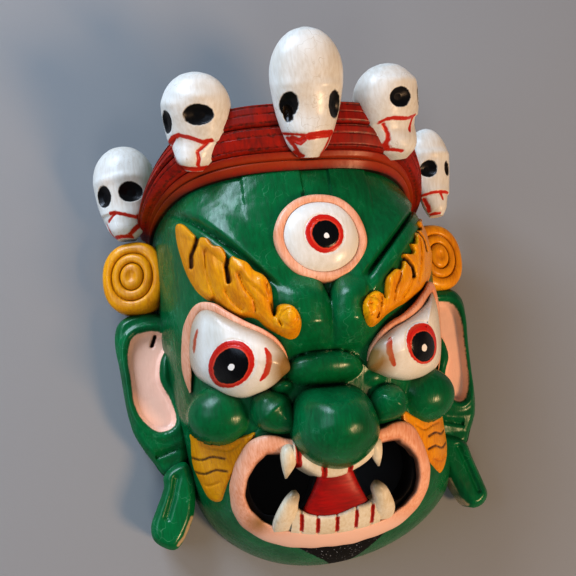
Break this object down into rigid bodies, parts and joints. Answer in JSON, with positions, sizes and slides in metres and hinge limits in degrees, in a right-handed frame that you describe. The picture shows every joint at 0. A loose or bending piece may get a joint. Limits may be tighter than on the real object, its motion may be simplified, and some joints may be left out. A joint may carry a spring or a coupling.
{
  "type": "carved ceremonial mask",
  "caption": "Carved and painted wooden mask of a wrathful green-faced protector with a third eye, bared fangs and a crown of skulls, hollow behind.",
  "frame": {"origin": "centre of the bounding box on the ground under the mask, which lies on its flat back rim", "axes": "+Z out of the face, +Y towards the crown, +X to the right of someone who looks at the face"},
  "size_m": [0.2717, 0.3302, 0.1649],
  "materials": {
    "green_paint": "deep green gloss enamel over carved wood",
    "orange_paint": "orange-ochre enamel over carved wood, dark in the cuts",
    "ivory_paint": "ivory enamel over carved wood, with grey dirt and red and black lines",
    "salmon_paint": "salmon pink enamel over carved wood",
    "red_paint": "brick red enamel over carved wood",
    "black_paint": "black paint with fine glitter over carved wood",
    "bare_wood": "unpainted carved wood"
  },
  "bodies": {
    "root": {"mask": "green_paint"}
  },
  "joints": []
}
